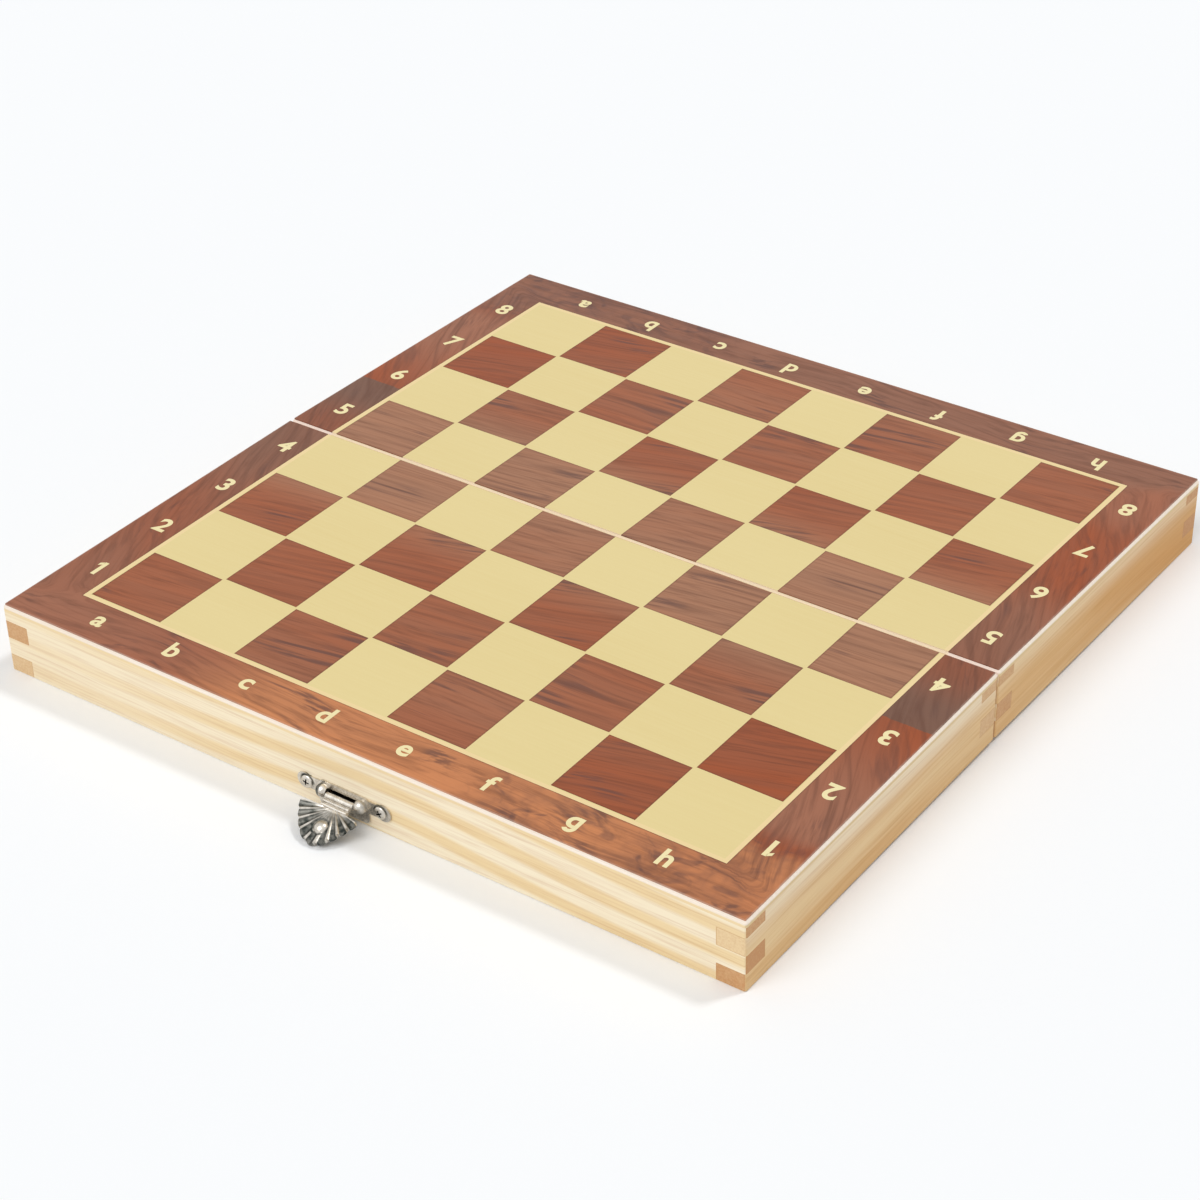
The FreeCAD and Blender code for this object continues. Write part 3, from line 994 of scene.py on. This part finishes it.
# Screws with a cross recess, modelled head up about their own axis
screw = {
    "headRadius": 0.0022,
    "headHeight": 0.0009,
    "headEdge": 0.0002,
    "domeSteps": 8,
    "roundLength": 0.0081,
    "sunkRadius": 0.0019,
    "sunkDepth": 0.0008,
    "sunkChamfer": 0.00008,
    "sunkLength": 0.0088,
    "shank": 0.001,
    "tip": 0.0025,
    "crossLength": 0.0024,
    "crossWidth": 0.0005,
    "crossDepth": 0.0006,
    "crossTaper": 0.00005,
    "upward": 0.2,  # only faces that look up are sunk
    "steps": 48,
    "merge": 1e-6,
    "sharp": 35,
    "firstTurn": 0.5,
    "nextTurn": 0.9,  # no two slots stand alike
    "scale": 600.0,
    "wear": 0.5,
    "roughness": (0.2, 0.36),
}
# Where they sit, in the level frame of their half
catch = {"screwSpacing": 0.0235, "screwHeight": 0.0028}
hinge = {"aside": 0.085, "screwAside": 0.00768, "screwOut": 0.004925}


def roundProfile():
    radius, shank, end = screw["headRadius"], screw["shank"], -screw["roundLength"]
    height, edge, steps = screw["headHeight"], screw["headEdge"], screw["domeSteps"]
    turns = [math.radians(90 * index / steps) for index in range(steps + 1)]
    dome = [(radius * math.cos(turn), edge + (height - edge) * math.sin(turn)) for turn in turns]
    dome[-1] = (0.0, height)
    return [(0.0, end), (shank, screw["tip"] + end), (shank, 0.0), (radius, 0.0)] + dome


def sunkProfile():
    radius, shank, end = screw["sunkRadius"], screw["shank"], -screw["sunkLength"]
    return [
        (0.0, end),
        (shank, screw["tip"] + end),
        (shank, -screw["sunkDepth"]),
        (radius, -screw["sunkChamfer"]),
        (radius - screw["sunkChamfer"], 0.0),
        (0.0, 0.0),
    ]


def turnedShape(shape, profile):
    verts = [shape.verts.new((radius, 0, height)) for radius, height in profile]
    edges = [shape.edges.new(pair) for pair in zip(verts, verts[1:])]
    turn = {"axis": (0, 0, 1), "cent": (0, 0, 0), "angle": math.tau, "steps": screw["steps"]}
    bmesh.ops.spin(shape, geom=verts + edges, use_merge=True, **turn)
    bmesh.ops.remove_doubles(shape, verts=shape.verts, dist=screw["merge"])
    bmesh.ops.recalc_face_normals(shape, faces=shape.faces)


def screwShape(profile):
    shape = bmesh.new()
    recessShade = shape.faces.layers.float.new("recessShade")  # painted shade goes on these faces of the cross recess
    turnedShape(shape, profile)
    long, wide = screw["crossLength"] / 2, screw["crossWidth"] / 2
    for axis in ((1, 0, 0), (0, 1, 0)):
        for offset in (-long, -wide, wide, long):
            everything = shape.verts[:] + shape.edges[:] + shape.faces[:]
            cut = {"plane_co": Vector(axis) * offset, "plane_no": axis}
            bmesh.ops.bisect_plane(shape, geom=everything, **cut)
    lowest = max(height for radius, height in profile) - screw["crossDepth"]
    cross = []
    for face in shape.faces:
        middle = face.calc_center_median()
        near, far = sorted((abs(middle.x), abs(middle.y)))
        inCross = near < wide and far < long and middle.z > lowest
        if inCross and face.normal.z > screw["upward"]:
            cross.append(face)
    sunk = {"thickness": screw["crossTaper"], "depth": -screw["crossDepth"]}
    walls = bmesh.ops.inset_region(shape, faces=cross, use_even_offset=True, **sunk)["faces"]
    for face in cross + walls:
        face[recessShade] = 1.0
    return shape


def addObject(name, data):
    item = bpy.data.objects.new(name, data)
    scene.collection.objects.link(item)
    return item


def addPiece(name, shape, body, material):
    mesh = bpy.data.meshes.new(name)
    shape.to_mesh(mesh)
    shape.free()
    mesh.materials.append(material)
    piece = addObject(name, mesh)
    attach(piece, body)
    return piece


def layScrews(node, side, profile, places, headUp, material):
    whole = bmesh.new()
    for index, place in enumerate(places):
        shape = screwShape(profile)
        spun = Matrix.Rotation(screw["firstTurn"] + screw["nextTurn"] * index, 4, "Z")
        shape.transform(levelToFrame(side) @ Matrix.Translation(place) @ headUp @ spun)
        mesh = bpy.data.meshes.new("screw")
        shape.to_mesh(mesh)
        shape.free()
        whole.from_mesh(mesh)
        bpy.data.meshes.remove(mesh)
    piece = addPiece(node + "_cross", whole, side + "_half", material)
    for polygon in piece.data.polygons:
        polygon.use_smooth = True
    piece.data.set_sharp_from_angle(angle=math.radians(screw["sharp"]))
    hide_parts(node)


def makeScrewMetal(name, look):
    material, shader, worn = startMetal(name, screw["scale"])
    recessShade = put("Attribute", attribute_name="recessShade").outputs["Fac"]
    colour = wornColour(worn, screw["wear"], look["bright"], metals["nickel"]["dull"])
    # painted shade on the walls and floor of the cross recess
    colour = blend(recessShade, colour, look["recessShade"])
    roughness = scuffed(worn, screw["roughness"])
    finishSurface(shader, colour, roughness, worn["Scuffs"], tarnishShape["relief"])
    return material


def screwPair(across, size):  # two screws in an outer face
    outerFace = board["half"] + clasp["plate"]
    half = size["screwSpacing"] / 2
    return [(across + sign * half, outerFace, size["screwHeight"]) for sign in (-1, 1)]


sidewaysUp = Matrix.Rotation(-math.pi / 2, 4, "X")  # head towards +y
downwardUp = Matrix.Rotation(math.pi, 4, "X")  # head towards -z
screwNickel = makeScrewMetal("screwNickel", metals["nickel"])
screwBrass = makeScrewMetal("screwBrass", metals["brass"])
claspPlaces = screwPair(clasp["across"], clasp)
catchPlaces = screwPair(-clasp["across"], catch)
hingePlaces = []
for middle in (-hinge["aside"], hinge["aside"]):
    for offset in (-hinge["screwAside"], hinge["screwAside"]):
        hingePlaces.append((middle + offset, hinge["screwOut"], 0.0))
layScrews("clasp_screws", "front", roundProfile(), claspPlaces, sidewaysUp, screwNickel)
layScrews("catch_screws", "rear", roundProfile(), catchPlaces, sidewaysUp, screwNickel)
for side in ("front", "rear"):
    node = side + "_hinge_screws"
    layScrews(node, side, sunkProfile(), hingePlaces, downwardUp, screwBrass)
print("screws modelled")

# Coordinates on the border, laid on the film. A sign is drawn one unit high, then sized.
marks = {
    "size": 0.0106,
    "bold": 0.026,
    "thickness": 0.00006,
    "smoothness": 8,
    "figureMiddle": 0.34,
    "letterMiddle": 0.229,
    "flagReach": (-0.15, -0.11, 0),
    "flagInset": 0.02,
    "flagWidth": 0.14,
    "hookRadius": 0.08,
    "hookTurn": 150,
    "hookSteps": 12,
    "foot": -0.02,
    "footReach": 0.001,
    "letterRow": 0.1350,
    "letterPitch": 0.0317,
    "numberRow": 0.1338,
    "firstStrip": (0.0164, 0.0324),
    "secondStrip": (0.0155, 0.0320),
    "colour": paint(242, 229, 178),
    "seed": 2.2,
    "hairSpan": (0.35, 0.9, 0.0, 0.35),
    "roughness": (0.36, 0.46),
    "relief": 0.00001,
    "merge": 1e-6,
}


def makeMarkPaint():
    material, shader = newMaterial("markPaint", cream["specular"])
    grain = useGroup(grainGroup, objectCoords(), {"Seed": marks["seed"]})
    colour = addHairs(grain, marks["colour"], cream["straw"], marks["hairSpan"])
    finishWood(shader, colour, grain, marks)
    return material


def signMesh(sign):
    curve = bpy.data.curves.new("sign", "FONT")
    curve.body = sign
    curve.align_x = "CENTER"
    curve.size = 1.0
    curve.offset = marks["bold"]
    curve.extrude = 0.5
    curve.resolution_u = marks["smoothness"]
    holder = addObject("sign", curve)
    bpy.context.view_layer.update()
    solid = holder.evaluated_get(bpy.context.evaluated_depsgraph_get())
    mesh = bpy.data.meshes.new_from_object(solid)
    bpy.data.objects.remove(holder)
    bpy.data.curves.remove(curve)
    return mesh


def addStroke(mesh, edge, sweep):  # a short edge of the sign, swept into a band as thick as it
    shape = bmesh.new()
    pair = [shape.verts.new((*point, -0.5)) for point in edge]
    sweep(shape, pair + [shape.edges.new(pair)])
    raised = bmesh.ops.extrude_face_region(shape, geom=shape.faces[:])["geom"]
    top = [item for item in raised if isinstance(item, bmesh.types.BMVert)]
    bmesh.ops.translate(shape, verts=top, vec=(0, 0, 1))
    shape.from_mesh(mesh)
    shape.to_mesh(mesh)
    shape.free()


def extent(verts, axis):
    places = [vert.co[axis] for vert in verts]
    return min(places), max(places)


def addFlag(mesh):  # the font's 1 is a bare bar
    top = extent(mesh.vertices, 1)[1]
    start = extent(mesh.vertices, 0)[0] + marks["flagInset"]

    def sweep(shape, geom):
        moved = bmesh.ops.extrude_edge_only(shape, edges=geom[2:])["geom"]
        verts = [item for item in moved if isinstance(item, bmesh.types.BMVert)]
        bmesh.ops.translate(shape, verts=verts, vec=marks["flagReach"])

    addStroke(mesh, ((start, top), (start, top - marks["flagWidth"])), sweep)


def addHook(mesh):  # turns a q into a plain g
    bottom = extent(mesh.vertices, 1)[0]
    foot = [vert for vert in mesh.vertices if vert.co.y < bottom + marks["footReach"]]
    left, right = extent(foot, 0)
    low = marks["foot"]
    for vert in foot:
        vert.co.y = low
    turn = {
        "cent": (left - marks["hookRadius"], low, -0.5),
        "axis": (0, 0, -1),
        "angle": math.radians(marks["hookTurn"]),
        "steps": marks["hookSteps"],
    }

    def sweep(shape, geom):
        bmesh.ops.spin(shape, geom=geom, **turn)

    addStroke(mesh, ((left, low), (right, low)), sweep)


def drawSign(sign):
    mesh = signMesh("q" if sign == "g" else sign)
    if sign == "1":
        addFlag(mesh)
    if sign == "g":
        addHook(mesh)
    return mesh


def layMarks(name, side, signs):
    whole = bmesh.new()
    size = Matrix.Diagonal((marks["size"], marks["size"], marks["thickness"] * 2, 1))
    for sign, x, y, turn in signs:
        mesh = drawSign(sign)
        left, right = extent(mesh.vertices, 0)
        height = marks["figureMiddle"] if sign.isdigit() else marks["letterMiddle"]
        middle = Matrix.Translation((-(left + right) / 2, -height, 0))
        at = Matrix.Translation((x, y, board["boxHeight"])) @ Matrix.Rotation(turn, 4, "Z")
        mesh.transform(levelToFrame(side) @ at @ size @ middle)
        whole.from_mesh(mesh)
        bpy.data.meshes.remove(mesh)
    bmesh.ops.remove_doubles(whole, verts=whole.verts, dist=marks["merge"])
    bmesh.ops.recalc_face_normals(whole, faces=whole.faces)
    addPiece(name, whole, side + "_half", markPaint)


def letterSigns(side):
    letters = "hgfedcba" if side == "front" else "abcdefgh"
    pitch, row = marks["letterPitch"], marks["letterRow"]
    return [(sign, (index - 3.5) * pitch, row, math.pi) for index, sign in enumerate(letters)]


def numberSigns(side):
    signs = []
    for step in range(4):
        number = str(4 - step if side == "front" else 5 + step)
        # upright on the left border, upside down on the right one, as the players sit
        for sign, strip in ((-1, "firstStrip"), (1, "secondStrip")):
            start, pitch = marks[strip]
            onLeft = (sign > 0) == (side == "front")
            turn = 0.0 if onLeft == (side == "rear") else math.pi
            signs.append((number, sign * marks["numberRow"], start + step * pitch, turn))
    return signs


markPaint = makeMarkPaint()
for side in ("front", "rear"):
    layMarks(side + "_letters", side, letterSigns(side))
    layMarks(side + "_numbers", side, numberSigns(side))
print("coordinates laid")

# Camera as in the photograph
camera = {
    "azimuth": 35.948,
    "elevation": 32.990,
    "roll": -1.143,
    "distance": 0.92839,
    "lens": 84.293,
    "sensor": 36.0,
    "clipStart": 0.01,
    "target": (0.01112, -0.02657, 0.02),
}


def setCamera():
    data = bpy.data.cameras.new("photoCamera")
    data.lens = camera["lens"]
    data.sensor_width = camera["sensor"]
    data.clip_start = camera["clipStart"]
    holder = addObject("photoCamera", data)
    turn = math.radians(camera["azimuth"])
    rise = math.radians(camera["elevation"])
    level = math.cos(rise)
    back = Vector((math.sin(turn) * level, -math.cos(turn) * level, math.sin(rise)))
    right = Vector((math.cos(turn), math.sin(turn), 0))
    axes = Matrix((right, back.cross(right), back)).transposed().to_4x4()
    rolled = axes @ Matrix.Rotation(math.radians(camera["roll"]), 4, "Z")
    stand = Matrix.Translation(Vector(camera["target"]) + back * camera["distance"])
    holder.matrix_world = stand @ rolled
    scene.camera = holder


setCamera()

# Plain soft studio: white floor, even sky, a soft sun in front and a sharper one behind
studio = {
    "floorSize": 8.0,
    "floorColour": (0.955, 0.97, 0.985, 1.0),
    "floorRoughness": 0.9,
    "sky": 0.50,
    "frontSun": {"from": (-0.12, -0.66, 0.74), "strength": 1.25, "angle": 40.0},
    "backSun": {"from": (0.26, 0.41, 0.87), "strength": 0.75, "angle": 8.0},
}


def makeFloor():
    shape = bmesh.new()
    bmesh.ops.create_grid(shape, x_segments=1, y_segments=1, size=studio["floorSize"] / 2)
    mesh = bpy.data.meshes.new("floor")
    shape.to_mesh(mesh)
    shape.free()
    material, shader = newMaterial("floorPaper", 0.0)
    shader.inputs["Base Color"].default_value = studio["floorColour"]
    shader.inputs["Roughness"].default_value = studio["floorRoughness"]
    mesh.materials.append(material)
    floor = addObject("floor", mesh)
    return floor


def keepBelow(floor, name, body, spot):  # the floor makes room for what swings below the board
    marker = addObject(name, None)
    marker.location = spot
    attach(marker, body)
    stop = floor.constraints.new("FLOOR")
    stop.target = marker
    stop.floor_location = "FLOOR_NEGATIVE_Z"


def makeSun(name, look):
    data = bpy.data.lights.new(name, "SUN")
    data.energy = look["strength"]
    data.angle = math.radians(look["angle"])
    sun = addObject(name, data)
    sun.rotation_euler = Vector(look["from"]).to_track_quat("Z", "Y").to_euler()


def makeSky():
    world = bpy.data.worlds.new("studioSky")
    world.use_nodes = True
    openTree(world.node_tree)
    rays = put("LightPath").outputs
    seen = calc("ADD", rays["Is Camera Ray"], rays["Is Glossy Ray"])
    seen = calc("ADD", seen, rays["Is Transmission Ray"], clamp=True)
    level = larger(seen, studio["sky"])
    sky = put("Background", {"Color": (1, 1, 1, 1), "Strength": level})
    link(sky.outputs[0], put("OutputWorld").inputs[0])
    scene.world = world


floor = makeFloor()
rearTop = levelToFrame("rear") @ Vector((0, board["half"], board["boxHeight"]))
keepBelow(floor, "rearTop", "rear_half", rearTop)
keepBelow(floor, "fanTip", "clasp_fan", fanToFrame() @ Vector((0, fan["reach"], 0)))
makeSun("frontSun", studio["frontSun"])
makeSun("backSun", studio["backSun"])
makeSky()
print("studio set")
